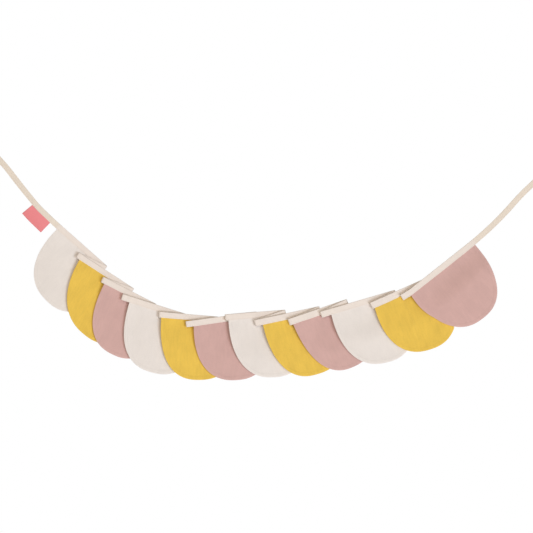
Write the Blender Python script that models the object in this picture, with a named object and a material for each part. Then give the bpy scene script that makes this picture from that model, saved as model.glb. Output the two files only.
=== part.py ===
"""Fabric bunting: twelve U-shaped cotton flags on one long tape that ends in two ties.

The tape is pleated between the flags, so each flag overlaps the one before it. Every flag but
the last folds back at its right with the tape and goes on behind the next flag.

The tape is worked out as one straight strip, s along it and b down from its top edge. Creases
cut the strip into legs: flag, return, flag and so on. place() carries a point of the strip to
where it hangs. The bunting hangs in the XZ plane and is seen along +Y, with its front at -Y.
The origin is the end of the left tie.
"""

import math

import bmesh
import bpy
import numpy as np

# Sizes of the pieces, in metres.
ROUNDNESS = 2.4  # of a flag's outline, where 2 would make half an ellipse
CLOTH = 0.0014  # two layers of cotton, seamed round the curve and pressed
CLEAR = 0.0003
TAPE_WALL = 0.001
TIE_WIDTH = 0.0104
TIE_THICK = 0.0024
BARE_THICK = 0.0030  # the tape between two flags
GROOVE = (0.0006, 0.0005)  # width and depth where the tape's folded edges meet
LABEL_THICK = 0.001
LABEL_FROM, LABEL_TO = -0.0574, -0.0132  # its place along the left tie
LABEL_DROP = 0.0240
LABEL_TUCK = 0.0035  # how far its top edge goes up into the tie
LEFT_TIE = 0.184
RIGHT_TIE_END = 0.336  # from the last fold to the end of the right tie

# How the layers lie.
FOLD_RADIUS = 0.0023
FOLD_STEPS = 4
LAYER = 2 * FOLD_RADIUS
SWELL = 0.006  # the middle of the swag lies this much further back
EASE = 0.050  # the ties level out within about this length
LEVEL_PAST = 0.040  # the last flag starts to level out this far past its left end
RIPPLE, RIPPLE_LENGTH = 0.0014, 0.175
CLOSE = 0.42  # how much nearer the layers lie at the flags' lower ends
CLOSE_FROM, CLOSE_TO = 0.022, 0.080  # below the swag's line

# The swag's line: its lowest point, then the rise and span to each side.
SWAG_LOW = (0.407, -0.295)
SWAG_LEFT = {"rise": 0.165, "span": 0.284, "power": 1.8}
SWAG_RIGHT = {"rise": 0.140, "span": 0.463, "power": 3.0}

# One row for each flag, in millimetres and degrees: where its tape starts, across and down from
# the end of the left tie, how steeply the tape runs down to the right, the bare tape before the
# cloth, the tape from its left end to its right fold, and the tape's width. Then the flag: its
# span along the tape and its drop below it, how far its lower end sways to the right, and how
# much lower than its middle its right side dips. Two pink flags are narrower, so that the next
# flag hides the whole of their folded side.
ROW_NAMES = (
    "cloth", "across", "down", "slope", "bare", "reach", "width", "span", "drop", "sway", "dip",
)
FLAG_ROWS = (
    ("cream", 122.4, 130.5, 41.8, 2.9, 113.0, 10.4, 149.0, 108.4, -3.8, 4.4),
    ("yellow", 157.5, 182.2, 33.3, 5.5, 116.5, 10.2, 149.0, 108.1, 6.6, 7.9),
    ("pink", 201.6, 225.9, 27.3, 4.6, 105.0, 10.6, 138.5, 106.3, 1.1, -0.9),
    ("cream", 236.7, 256.7, 17.8, 13.2, 131.0, 11.4, 149.0, 107.5, 2.1, -3.2),
    ("yellow", 302.4, 288.7, 5.0, 1.4, 104.5, 10.4, 149.0, 106.1, 2.8, -6.5),
    ("pink", 349.6, 306.0, -7.8, 10.5, 126.5, 10.8, 149.0, 106.5, -12.5, 6.3),
    ("cream", 420.3, 293.6, -4.4, 2.6, 107.0, 11.0, 149.0, 108.7, -0.4, 1.9),
    ("yellow", 472.9, 303.8, -12.1, 10.7, 118.0, 11.6, 149.0, 107.5, 4.1, -6.1),
    ("pink", 533.3, 302.2, -18.9, 3.6, 110.5, 12.0, 139.5, 107.4, 8.8, -6.2),
    ("cream", 591.1, 288.5, -16.2, 15.5, 139.0, 11.0, 149.0, 110.5, -3.4, 4.8),
    ("yellow", 681.2, 272.6, -23.9, 1.4, 112.5, 12.2, 149.0, 108.8, -13.0, 8.5),
    ("pink", 735.7, 258.3, -29.0, 13.2, None, 10.8, 146.5, 112.1, 1.5, 1.1),
)
# How steeply the left tie runs, by its distance before the first flag, and the last leg, by its
# distance past the last fold.
LEFT_SLOPES = (
    (-0.184, 47.0),
    (-0.150, 48.0),
    (-0.124, 52.6),
    (-0.093, 52.0),
    (-0.073, 50.5),
    (-0.058, 51.0),
    (-0.044, 46.0),
    (-0.036, 44.0),
    (-0.012, 43.8),
    (0.000, 41.8),
)
RIGHT_SLOPES = (
    (0.000, -29.0),
    (0.010, -31.0),
    (0.020, -38.0),
    (0.150, -38.5),
    (0.175, -41.0),
    (0.200, -43.0),
    (0.229, -46.5),
    (0.262, -48.5),
    (0.296, -43.5),
    (0.336, -42.0),
)

# How finely the solids are divided.
FLAG_LINES = 14
SIDE_LEAN = 0.04  # how much the outermost lines down a flag lean in, inside its rounded side
FLAG_LEVELS = 6
LABEL_LINES = 4
LABEL_LEVELS = 3
TAPE_STEP = 0.025
TIE_STEP = 0.012
CURVE_STEP = 0.001
CHANGE = 0.0006  # the length over which the tape opens for a piece in it
AIM_ROUNDS = 4
CUT_ROUNDS = 40
ROUNDING = 1e-9

MILLIMETRE = 0.001

# Base colour, roughness of each cloth.
COLOURS = {
    "cream": ((0.78, 0.73, 0.66), 0.9),
    "yellow": ((0.78, 0.51, 0.09), 0.9),
    "pink": ((0.61, 0.37, 0.34), 0.9),
    "tape": ((0.81, 0.75, 0.66), 0.9),
    "label": ((0.83, 0.26, 0.29), 0.6),
}


def unit(vector):
    return vector / np.linalg.norm(vector)


def heading(slope):
    """The direction in the XZ plane of a tape that runs down to the right by slope degrees."""
    return np.array((math.cos(math.radians(slope)), -math.sin(math.radians(slope))))


def below(along):
    """The direction square to a rightward tape, towards its lower edge."""
    return np.array((along[1], -along[0]))


def flag_rows():
    """The rows of the table in metres, each as a dictionary."""
    rows = []
    for row in FLAG_ROWS:
        flag = dict(zip(ROW_NAMES, row, strict=True))
        for column in ROW_NAMES:
            if column not in ("cloth", "slope") and flag[column] is not None:
                flag[column] *= MILLIMETRE
        flag["start"] = np.array((flag["across"], -flag["down"]))
        rows.append(flag)
    return rows


class Leg:
    """A flat stretch of the strip, as it lies in the XZ plane. Slopes make it a curve."""

    def __init__(self, start, origin, along, down, slopes=None):
        self.start = start
        self.origin = origin
        self.along = along
        self.down = down
        self.slopes = slopes

    def point(self, s, b):
        if self.slopes is None:
            return self.origin + (s - self.start) * self.along + b * self.down
        distances, angles = zip(*self.slopes, strict=True)
        count = max(1, round(abs(s - self.start) / CURVE_STEP))
        middles = (s - self.start) * (np.arange(count) + 0.5) / count
        turned = np.radians(np.interp(middles, distances, angles))
        steps = np.stack((np.cos(turned), -np.sin(turned)), axis=1)
        at = self.origin + steps.sum(axis=0) * (s - self.start) / count
        return at + b * below(heading(np.interp(s - self.start, distances, angles)))


class Crease:
    """A fold towards the viewer that starts at s on the top edge and turns leg to along."""

    def __init__(self, leg, s, along):
        line = unit(leg.along + along)
        line = line if line @ leg.down > 0 else -line
        self.leg = leg
        self.s = s
        self.tilt = (line @ leg.along) / (line @ leg.down)
        self.stretch = math.hypot(1, self.tilt)
        self.across = unit(leg.along - self.tilt * leg.down)
        self.end = s + math.pi * FOLD_RADIUS * self.stretch

    def past(self, s, b):
        """How far a point of the strip lies past the line where the fold starts."""
        return (s - self.s - self.tilt * b) / self.stretch

    def mirrored(self, vector):
        return vector - 2 * (vector @ self.across) * self.across

    def next_leg(self, slopes=None):
        origin = self.leg.point(self.end, 0) - math.pi * FOLD_RADIUS * self.across
        along, down = self.mirrored(self.leg.along), self.mirrored(self.leg.down)
        return Leg(self.end, origin, along, down, slopes)


def return_crease(leg, s, target):
    """The right fold of a flag, aimed so that the return's top edge leads to target."""
    aim = unit(target - leg.point(s, 0))
    for _ in range(AIM_ROUNDS):
        crease = Crease(leg, s, aim)
        back = crease.next_leg()
        aim = unit(target - back.origin)
    return crease


def folded_strip(flags):
    """The legs and creases in order.

    Each flag gets its leg, and "from" and "to", the ends of its cloth on the strip.
    """
    first = flags[0]
    along = heading(first["slope"])
    legs = [Leg(0.0, first["start"], along, below(along), LEFT_SLOPES)]
    creases = []
    begin = 0.0
    for flag, following in zip(flags, flags[1:] + [None], strict=True):
        flag["leg"] = len(creases)
        flag["from"] = begin + flag["bare"]
        flag["to"] = flag["from"] + flag["span"]
        if following is None:
            break
        # A visible end is one fold radius past the line where the fold starts.
        flat = flag["reach"] - FOLD_RADIUS * (1 if flag is first else 2)
        flag["crease"] = return_crease(legs[-1], begin + flat, following["start"])
        back = flag["crease"].next_leg()
        length = np.linalg.norm(following["start"] - back.origin) - FOLD_RADIUS
        slopes = RIGHT_SLOPES if following is flags[-1] else None
        turn = Crease(back, back.start + length, heading(following["slope"]))
        creases += [flag["crease"], turn]
        legs += [back, turn.next_leg(slopes)]
        begin = turn.end
    return legs, creases


def smooth(share):
    share = min(max(share, 0.0), 1.0)
    return share * share * (3 - 2 * share)


def swag_height(x):
    side = SWAG_LEFT if x < SWAG_LOW[0] else SWAG_RIGHT
    share = abs(x - SWAG_LOW[0]) / side["span"]
    return SWAG_LOW[1] + side["rise"] * share ** side["power"]


class Bunting:
    """Where each point of the strip hangs."""

    def __init__(self):
        self.flags = flag_rows()
        self.legs, self.creases = folded_strip(self.flags)
        self.left = self.flags[0]["start"][0]
        self.right = self.flags[-1]["start"][0]
        self.lean = len(self.creases) * LAYER / (self.right - self.left)
        self.zero = np.zeros(3)
        self.zero = np.array(self.place(-LEFT_TIE, TIE_WIDTH / 2, 0.0))

    def sheet_back(self, x):
        """How far back the first layer would lie at x. All layers are parallel to it."""
        past_right = x - self.right - LEVEL_PAST
        if x < self.left:
            x = self.left - EASE * math.tanh((self.left - x) / EASE)
        elif past_right > 0:
            x = self.right + LEVEL_PAST + EASE * math.tanh(past_right / EASE)
        share = (x - self.left) / (self.right - self.left)
        swell = SWELL * math.sin(math.pi * min(max(share, 0.0), 1.0))
        return self.lean * (x - self.left) + swell

    def back(self, x, z, layers):
        """How far back a point lies that has that depth of layers behind it."""
        share = smooth((swag_height(x) - z - CLOSE_FROM) / (CLOSE_TO - CLOSE_FROM))
        closeness = 1 - (1 - CLOSE) * share
        ripple = RIPPLE * share * math.sin(2 * math.pi * x / RIPPLE_LENGTH)
        return closeness * (self.sheet_back(x) - layers) + ripple

    def place(self, s, b, front, flag=None):
        """Where a point of the strip hangs, front metres before the middle of the cloth.

        A flag's cloth follows its own fold alone, however far the tape's folds would reach down.
        """
        home = 0 if flag is None else flag["leg"]
        own = self.creases if flag is None else self.creases[home : home + 1]
        folds = home + max((i for i, crease in enumerate(own, 1) if crease.past(s, b) >= 0), default=0)
        # Each fold turns the strip over, so its face is towards the viewer on every second leg.
        facing = front if folds % 2 == 0 else -front
        layers = folds * LAYER
        at = self.legs[folds].point(s, b)
        crease = self.creases[folds - 1] if folds > home else None
        if crease is not None and crease.past(s, b) < math.pi * FOLD_RADIUS:
            turned = crease.past(s, b) / FOLD_RADIUS
            radius = FOLD_RADIUS + facing
            at = crease.leg.point(s, b) - crease.past(s, b) * crease.across
            at = at + radius * math.sin(turned) * crease.across
            layers += FOLD_RADIUS * (1 - math.cos(turned)) - LAYER
            facing = -facing * math.cos(turned)
        y = self.back(at[0], at[1], layers) - facing
        return np.array((at[0], y, at[1])) - self.zero


def spread(start, end, most):
    """Places from start to end at even steps of at most that length."""
    return np.linspace(start, end, max(1, math.ceil((end - start) / most - ROUNDING)) + 1)


def fold_places(crease):
    """The places on the top edge where the facets of a fold begin and end."""
    return list(np.linspace(crease.s, crease.end, FOLD_STEPS + 1))


def outline_depth(flag, along):
    """How deep the flag's rounded edge lies below the tape, along its top, as it was cut."""
    share = min(1.0, abs(2 * along / flag["span"] - 1))
    return flag["drop"] * (1 - share**ROUNDNESS) ** (1 / ROUNDNESS)


def hung_place(flag, along, depth):
    """Where a place on the flag hangs, from the same place on it as it was cut."""
    share = depth / flag["drop"]
    side = 2 * along / flag["span"] - 1
    return along + flag["sway"] * share, depth + flag["dip"] * side * share


def cut_place(flag, along, depth):
    """The opposite of hung_place()."""
    guess = np.array((along, depth))
    for _ in range(AIM_ROUNDS):
        guess = guess + (along, depth) - np.array(hung_place(flag, *guess))
    return guess


def flag_line(flag, s):
    """How much the line down the cloth from s leans to the right, in the tape and below it."""
    sway = flag["sway"] / flag["drop"]
    places = [flag["from"], flag["to"]]
    in_tape = [0.0, 0.0]
    hanging = [sway + SIDE_LEAN, sway - SIDE_LEAN]
    crease = flag.get("crease")
    if crease is not None:
        places[1:1] = [crease.s, crease.end]
        in_tape[1:1] = hanging[1:1] = [crease.tilt, crease.tilt]
    return np.interp(s, places, in_tape), np.interp(s, places, hanging)


def flag_places(flag):
    """The places on the top edge of the lines down the cloth, close together at its sides."""
    turns = np.linspace(0, math.pi, FLAG_LINES + 1)
    places = [flag["from"] + flag["span"] / 2 * (1 - math.cos(turn)) for turn in turns]
    crease = flag.get("crease")
    if crease is None:
        return places
    room = FOLD_RADIUS
    places = [s for s in places if not crease.s - room < s < crease.end + room]
    return sorted(places + fold_places(crease))


def on_line(flag, s, b):
    """The place on the strip of a point b down on the line from s."""
    in_tape, hanging = flag_line(flag, s)
    return s + in_tape * min(b, flag["width"]) + hanging * max(0.0, b - flag["width"])


def edge_depth(flag, s):
    """Where the line down the cloth from s meets the flag's edge."""
    inside, outside = flag["width"], flag["width"] + 2 * flag["drop"]
    for _ in range(CUT_ROUNDS):
        middle = (inside + outside) / 2
        along = on_line(flag, s, middle) - flag["from"]
        along, depth = cut_place(flag, along, middle - flag["width"])
        if 0 < along < flag["span"] and outline_depth(flag, along) > depth:
            inside = middle
        else:
            outside = middle
    return inside


def mesh_object(name, points, faces, colour):
    mesh = bpy.data.meshes.new(name)
    mesh.from_pydata([tuple(point) for point in points], [], faces)
    shell = bmesh.new()
    shell.from_mesh(mesh)
    bmesh.ops.recalc_face_normals(shell, faces=shell.faces)
    shell.to_mesh(mesh)
    shell.free()
    base, roughness = COLOURS[colour]
    material = bpy.data.materials.get(colour) or bpy.data.materials.new(colour)
    material.use_nodes = True
    shader = material.node_tree.nodes["Principled BSDF"]
    shader.inputs["Base Color"].default_value = (*base, 1.0)
    shader.inputs["Roughness"].default_value = roughness
    mesh.materials.append(material)
    piece = bpy.data.objects.new(name, mesh)
    bpy.context.scene.collection.objects.link(piece)
    return piece


def sheet(name, bunting, lines, thick, colour, flag=None):
    """A closed sheet. Each line holds the (s, b) places of one line of points down it."""
    across, down = len(lines), len(lines[0])
    points = []
    for side in (thick / 2, -thick / 2):
        points += [bunting.place(s, b, side, flag) for line in lines for s, b in line]

    def at(side, column, level):
        return (side * across + column) * down + level

    faces = []
    for i in range(across - 1):
        for k in range(down - 1):
            for side in (0, 1):
                corners = (i, k), (i + 1, k), (i + 1, k + 1), (i, k + 1)
                faces.append([at(side, *corner) for corner in corners])
    rim = [(i, 0) for i in range(across)]
    rim += [(across - 1, k) for k in range(1, down)]
    rim += [(i, down - 1) for i in range(across - 2, -1, -1)]
    rim += [(0, k) for k in range(down - 2, 0, -1)]
    for a, b in zip(rim, rim[1:] + rim[:1], strict=True):
        faces.append([at(0, *a), at(0, *b), at(1, *b), at(1, *a)])
    return mesh_object(name, points, faces, colour)


def make_flag(number, flag, bunting):
    """One flag, its top edge up inside the tape."""
    top = TAPE_WALL + CLEAR
    under_tape = flag["width"] + 2 * CLEAR
    lines = []
    for s in flag_places(flag):
        levels = [top] + list(np.linspace(under_tape, edge_depth(flag, s), FLAG_LEVELS + 1))
        lines.append([(on_line(flag, s, b), b) for b in levels])
    return sheet(f"flag_{number:02d}", bunting, lines, CLOTH, flag["cloth"], flag)


def make_label(bunting):
    """The folded label, sewn into the lower edge of the left tie."""
    levels = [TIE_WIDTH - LABEL_TUCK + CLEAR]
    levels += list(np.linspace(TIE_WIDTH + 2 * CLEAR, TIE_WIDTH + LABEL_DROP, LABEL_LEVELS + 1))
    lines = []
    for s in np.linspace(LABEL_FROM, LABEL_TO, LABEL_LINES + 1):
        lines.append([(s, b) for b in levels])
    return sheet("label", bunting, lines, LABEL_THICK, "label")


def tape_states(bunting):
    """(from, to, thickness, channel width, channel depth or None for all) of each opened part."""
    cloth_channel = CLOTH + 2 * CLEAR
    label_channel = LABEL_THICK + 2 * CLEAR
    states = [(LABEL_FROM, LABEL_TO, label_channel + 2 * TAPE_WALL, label_channel, LABEL_TUCK)]
    for flag in bunting.flags:
        thick = cloth_channel + 2 * TAPE_WALL
        states.append((flag["from"], flag["to"], thick, cloth_channel, None))
    return states


def tape_width(bunting, s):
    """The tape's width, which changes between the flags."""
    places, widths = [LABEL_TO], [TIE_WIDTH]
    for flag in bunting.flags:
        places += [flag["from"], flag["to"]]
        widths += [flag["width"], flag["width"]]
    places.append(bunting.flags[-1]["to"] + TIE_STEP)
    widths.append(TIE_WIDTH)
    return np.interp(s, places, widths)


def tape_section(bunting, s):
    """The (b, front) corners of the tape's section at s: a strip with a channel under it."""
    width = tape_width(bunting, s)
    first, last = bunting.flags[0]["from"], bunting.flags[-1]["to"]
    on_tie = s < first or s > last
    thick = TIE_THICK if on_tie else BARE_THICK
    channel, depth = GROOVE
    for start, end, opened, wide, deep in tape_states(bunting):
        if start - CLEAR <= s <= end + CLEAR:
            thick, channel = opened, wide
            depth = width - TAPE_WALL if deep is None else deep
    outer, inner = thick / 2, channel / 2
    roof = width - depth
    return (
        (0.0, outer),
        (width, outer),
        (width, inner),
        (roof, inner),
        (roof, -inner),
        (width, -inner),
        (width, -outer),
        (0.0, -outer),
    )


def tape_stations(bunting):
    """(place on the top edge, tilt) of each section of the tape."""
    first, last = bunting.flags[0], bunting.flags[-1]
    end = bunting.creases[-1].end + RIGHT_TIE_END
    marks, tilts = [-LEFT_TIE], [0.0]
    for start, stop, *_ in tape_states(bunting):
        marks += [start - CLEAR - CHANGE, start - CLEAR, stop + CLEAR, stop + CLEAR + CHANGE]
        tilts += [0.0] * 4
    for crease in bunting.creases:
        marks += fold_places(crease)
        tilts += [crease.tilt] * (FOLD_STEPS + 1)
    marks.append(end)
    tilts.append(0.0)
    order = np.argsort(marks, kind="stable")
    marks, tilts = np.array(marks)[order], np.array(tilts)[order]
    stations = [marks[0]]
    for a, b in zip(marks[:-1], marks[1:], strict=True):
        on_curve = b <= first["from"] or a >= last["from"]
        stations += list(spread(a, b, TIE_STEP if on_curve else TAPE_STEP)[1:])
    return [(s, np.interp(s, marks, tilts)) for s in stations]


def make_tape(bunting):
    """The whole tape, from the end of one tie to the end of the other."""
    rings = []
    for s, tilt in tape_stations(bunting):
        section = tape_section(bunting, s)
        rings.append([bunting.place(s + tilt * b, b, front) for b, front in section])
    corners = len(rings[0])
    points = [point for ring in rings for point in ring]
    faces = []
    for i in range(len(rings) - 1):
        for k in range(corners):
            a, b = i * corners + k, i * corners + (k + 1) % corners
            faces.append((a, b, b + corners, a + corners))
    # Each end is closed by quads, front wall, back wall and roof.
    for base in (0, (len(rings) - 1) * corners):
        for quad in ((0, 1, 2, 3), (4, 5, 6, 7), (0, 3, 4, 7)):
            faces.append([base + k for k in quad])
    return mesh_object("binding_tape", points, faces, "tape")


def main():
    for old in list(bpy.data.objects):
        bpy.data.objects.remove(old, do_unlink=True)
    bunting = Bunting()
    make_tape(bunting)
    make_label(bunting)
    for number, flag in enumerate(bunting.flags, start=1):
        make_flag(number, flag, bunting)


main()
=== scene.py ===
"""The looks of the fabric bunting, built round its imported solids, in metres with +Z up.

The tape is one straight strip before it is folded, s along it and b down from its top edge.
Creases cut it into legs: flag, return, flag and so on. Bunting.place() carries a point of the
strip to where it hangs. Each cloth is a thin closed sheet in the space of its own solid, and
keeps its flat coordinates, from which its weave is drawn.
"""

import math

import bmesh
import bpy
import numpy as np
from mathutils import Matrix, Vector
from mathutils.geometry import delaunay_2d_cdt


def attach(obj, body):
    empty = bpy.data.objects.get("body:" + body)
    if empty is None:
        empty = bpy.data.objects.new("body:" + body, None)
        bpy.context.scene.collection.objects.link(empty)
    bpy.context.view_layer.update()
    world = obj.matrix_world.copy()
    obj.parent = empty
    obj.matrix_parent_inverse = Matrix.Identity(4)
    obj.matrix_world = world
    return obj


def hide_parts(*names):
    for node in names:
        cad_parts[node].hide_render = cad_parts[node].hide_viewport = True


MM = 0.001

# Sizes that the solids have too.
ROUNDNESS = 2.4  # of a flag's outline, where 2 would make half an ellipse
TIE_WIDTH = 10.4 * MM
LABEL_FROM, LABEL_TO = -57.4 * MM, -13.2 * MM  # its place along the left tie
LABEL_DROP = 24.0 * MM
LEFT_TIE = 184.0 * MM
RIGHT_TIE_END = 336.0 * MM  # from the last fold to the end of the right tie
FOLD_RADIUS = 2.3 * MM
LAYER = 2 * FOLD_RADIUS
SWELL = 6.0 * MM  # the middle of the swag lies this much further back
EASE = 50.0 * MM  # the ties level out within about this length
LEVEL_PAST = 40.0 * MM  # the last flag starts to level out this far past its left end
RIPPLE, RIPPLE_LENGTH = 1.4 * MM, 175.0 * MM
CLOSE = 0.42  # how much nearer the layers lie at the flags' lower ends
CLOSE_FROM, CLOSE_TO = 22.0 * MM, 80.0 * MM  # below the swag, where they draw nearer
SWAG_LOW = (0.407, -0.295)
SWAG_LEFT = {"rise": 0.165, "span": 0.284, "power": 1.8}
SWAG_RIGHT = {"rise": 0.140, "span": 0.463, "power": 3.0}
AIM_ROUNDS = 4
CURVE_STEP = 1.0 * MM

# One row for each flag, in millimetres and degrees: where its tape starts, across and down from
# the end of the left tie, how steeply the tape runs down to the right, the bare tape before the
# cloth, the tape from its left end to its right fold, and the tape's width. Then the flag: its
# span along the tape and its drop below it, how far its lower end sways to the right, how much
# lower than its middle its right side dips, how far the fold of the flag behind it stands out
# through it, and how far its left edge stands off. Two pink flags are narrower, so that the
# next flag hides the whole of their folded side.
ROW_NAMES = (
    "cloth", "across", "down", "slope", "bare", "reach",
    "width", "span", "drop", "sway", "dip", "imprint", "lift",
)
FLAG_ROWS = (
    ("cream", 122.4, 130.5, 41.8, 2.9, 113.0, 10.4, 149.0, 108.4, -3.8, 4.4, 0.0, 0.0),
    ("yellow", 157.5, 182.2, 33.3, 5.5, 116.5, 10.2, 149.0, 108.1, 6.6, 7.9, 0.10, 1.4),
    ("pink", 201.6, 225.9, 27.3, 4.6, 105.0, 10.6, 138.5, 106.3, 1.1, -0.9, 0.12, -0.3),
    ("cream", 236.7, 256.7, 17.8, 13.2, 131.0, 11.4, 149.0, 107.5, 2.1, -3.2, 0.15, 1.2),
    ("yellow", 302.4, 288.7, 5.0, 1.4, 104.5, 10.4, 149.0, 106.1, 2.8, -6.5, 0.12, 1.2),
    ("pink", 349.6, 306.0, -7.8, 10.5, 126.5, 10.8, 149.0, 106.5, -12.5, 6.3, 0.15, -0.3),
    ("cream", 420.3, 293.6, -4.4, 2.6, 107.0, 11.0, 149.0, 108.7, -0.4, 1.9, 0.10, 1.2),
    ("yellow", 472.9, 303.8, -12.1, 10.7, 118.0, 11.6, 149.0, 107.5, 4.1, -6.1, 0.95, 1.8),
    ("pink", 533.3, 302.2, -18.9, 3.6, 110.5, 12.0, 139.5, 107.4, 8.8, -6.2, 0.15, -0.2),
    ("cream", 591.1, 288.5, -16.2, 15.5, 139.0, 11.0, 149.0, 110.5, -3.4, 4.8, 0.10, 1.6),
    ("yellow", 681.2, 272.6, -23.9, 1.4, 112.5, 12.2, 149.0, 108.8, -13.0, 8.5, 2.00, 0.0),
    ("pink", 735.7, 258.3, -29.0, 13.2, None, 10.8, 146.5, 112.1, 1.5, 1.1, 0.10, -0.4),
)

# How steeply the left tie runs, by its distance before the first flag, and the last leg, by its
# distance past the last fold. In metres and degrees.
LEFT_SLOPES = (
    (-0.184, 47.0),
    (-0.150, 48.0),
    (-0.124, 52.6),
    (-0.093, 52.0),
    (-0.073, 50.5),
    (-0.058, 51.0),
    (-0.044, 46.0),
    (-0.036, 44.0),
    (-0.012, 43.8),
    (0.000, 41.8),
)
RIGHT_SLOPES = (
    (0.000, -29.0),
    (0.010, -31.0),
    (0.020, -38.0),
    (0.150, -38.5),
    (0.175, -41.0),
    (0.200, -43.0),
    (0.229, -46.5),
    (0.262, -48.5),
    (0.296, -43.5),
    (0.336, -42.0),
)

# The cloth of a flag: two layers, and four where the seam's turnings lie inside.
CLOTH_INNER = 0.80 * MM
CLOTH_EDGE = 1.25 * MM
TURNING = 6.2 * MM  # how far in from the edge the turnings reach
TURNING_SOFT = 1.3 * MM
TURNING_WAVES = ((0.35 * MM, 7.1 * MM, 0), (0.25 * MM, 2.9 * MM, 0))  # see waves()
RIM = 0.75 * MM  # the radius of the turned edge
RIM_LEAST = 0.015  # keeps the two sides apart at the very edge, see rounded()
FLAG_TOP = 1.9 * MM  # its top edge lies this far below the tape's

# The pulls under the row of stitches. The lengths of their waves are in millimetres.
PUCKER = 0.12 * MM
PUCKER_FADE = 6.5 * MM
PUCKER_SIDES = 8 * MM
PUCKER_SHIFT = 11.0  # from one flag to the next
PUCKER_LENGTH, SECOND_LENGTH, SECOND_SHARE = 1.9, 3.3, 0.7
PUCKER_WANDER, WANDER_LENGTH = 1.4, 9.7

# A flag's own long folds: the length of a wave, and its shift from one flag to the next.
HANG = 0.14 * MM
HANG_ACROSS, HANG_ACROSS_SHIFT = 19.0 * MM, 1.7
HANG_DOWN, HANG_DOWN_SHIFT, HANG_DOWN_SHARE = 16.0 * MM, 2.3, 0.6

# The left edge of a flag, which stands off the flag behind it.
LIFT_REACH = 13.0 * MM
LIFT_FROM = 26.0 * MM
LIFT_STEEP, LIFT_SHIFT = 2.5, 0.25  # how it fades out towards the right half of the flag

# The fold of the flag behind, which stands out as a low ridge with a step beside it.
IMPRINT_PAST = 8.5 * MM
IMPRINT_WIDTH = 4.5 * MM
IMPRINT_STEP = 0.45
IMPRINT_SLOPE = 16.0 * MM
IMPRINT_BEGIN = 14 * MM
IMPRINT_LENGTH = 72.0 * MM
IMPRINT_END = 30 * MM

# The points of a flag's mesh.
RIM_RINGS = (0.0, 0.10 * MM, 0.32 * MM, 0.75 * MM)
SEAM_RINGS = (1.9 * MM, 3.3 * MM, 4.6 * MM, 5.5 * MM, 6.2 * MM, 6.9 * MM, 7.8 * MM, 9.4 * MM)
OUTLINE_STEPS = 132
QUARTERS = (0.0, 0.25, 0.5, 0.75)  # of a step, for the distance from the outline
GRID = 3.0 * MM
FINE_GRID = 1.5 * MM
FINE_DEPTH = 13.0 * MM
FOLD_LINES = 9
SAME_PLACE = 1e-6
INSIDE = 1  # delaunay_2d_cdt's output of the triangles inside the outline

# The tape: a wall is two layers of cotton.
WALL = 0.62 * MM
CLOTH_GAP = 1.30 * MM
SHUT_GAP = 0.10 * MM
INNER_LEAST = SHUT_GAP / 4  # from a wall's inner face to the middle of the tape
PUFF = 0.16 * MM
PUFF_EVEN, PUFF_UNEVEN, PUFF_LENGTH = 0.7, 0.3, 13 * MM
TOP_ROUND, TOP_POWER = 0.8 * MM, 2.6  # of its pressed top fold
EDGE_ROUND = 0.4 * MM  # of its lower edges
EDGE_LEAST = 0.2  # the thickness of its very edge, as a share of the wall's
PINCH, PINCH_REACH = 0.22 * MM, 0.55 * MM
SEAM_UP = 1.8 * MM  # the row of stitches lies this far above the lower edge
OPENING = 7.0 * MM  # the length over which the tape opens for a flag
TIE_BEGINS = 12 * MM  # past the last flag
WIDTH_WAVES = ((0.12 * MM, 23 * MM, 0), (0.08 * MM, 9 * MM, 1))

# The points of the tape's mesh.
STEP = 2.1 * MM
FOLD_STEP = 0.9 * MM
EDGE_LEVELS = (0.0, 0.10 * MM, 0.35 * MM, 0.8 * MM, 1.3 * MM, SEAM_UP, 2.3 * MM, 2.9 * MM)
TOP_LEVELS = (2.2 * MM, 1.3 * MM, 0.8 * MM, 0.45 * MM, 0.22 * MM, 0.07 * MM, 0.0)
MIDDLE_SHARES = (0.35, 0.7)

# The stitches. Each ring of one gives its place in stitch lengths, and its radius and how far
# out it lies in radiuses of the thread.
STITCH, STITCH_GAP = 2.5 * MM, 0.6 * MM
THREAD = 0.20 * MM  # its radius
STITCH_WANDER, STITCH_TURN = 0.12 * MM, 1.7  # how far the row wanders up and down, and how fast
STITCH_SIDES = 6
STITCH_RINGS = (
    (-0.5, 0.35, -0.9),
    (-0.36, 0.85, -0.1),
    (0.0, 1.0, 0.15),
    (0.36, 0.85, -0.1),
    (0.5, 0.35, -0.9),
)

# The label: one ribbon folded at its lower end.
RIBBON = 0.26 * MM
RIBBON_GAP = 0.26 * MM
RIBBON_PARTS = 10 * MM  # its halves part over this length below the tie
RIBBON_ROUND = 0.5 * MM
RIBBON_LEAST = 0.01 * MM
RIBBON_ROOM = 0.1 * MM  # round it, inside the tie
CURL = 0.25 * MM
LABEL_TUCK = 3.2 * MM
LABEL_STEP = 1.0 * MM
LABEL_EVEN_END = 1.5 * MM  # even steps end this far above its lower end
LABEL_LEVELS = (1.4, 0.9, 0.5, 0.2, 0.05, 0.0)  # millimetres above its lower end
RIB = 0.32 * MM
SELVAGE_OUT, SELVAGE_IN = 1.0 * MM, 1.6 * MM  # from its sides

# The cloths. A cotton's weave has a thread in each pitch.
COLOURS = {
    "cream": (0.825, 0.765, 0.735),
    "yellow": (0.80, 0.53, 0.086),
    "pink": (0.638, 0.408, 0.382),
    "tape": (0.845, 0.755, 0.70),
    "tie": (0.82, 0.725, 0.635),
    "label": (0.88, 0.247, 0.273),
}
FLAG_PITCH = 0.50 * MM
TAPE_PITCH = 0.42 * MM
FLAG_COTTONS = {
    "cream": {"uneven": 0.8, "seed": 1.0},
    "yellow": {"uneven": 2.0, "seed": 30.0},
    "pink": {"uneven": 1.4, "seed": 60.0},
}
TAPE_COTTON = {"turn": 45.0, "uneven": 0.5, "relief": 0.4, "seed": 90.0}

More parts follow.
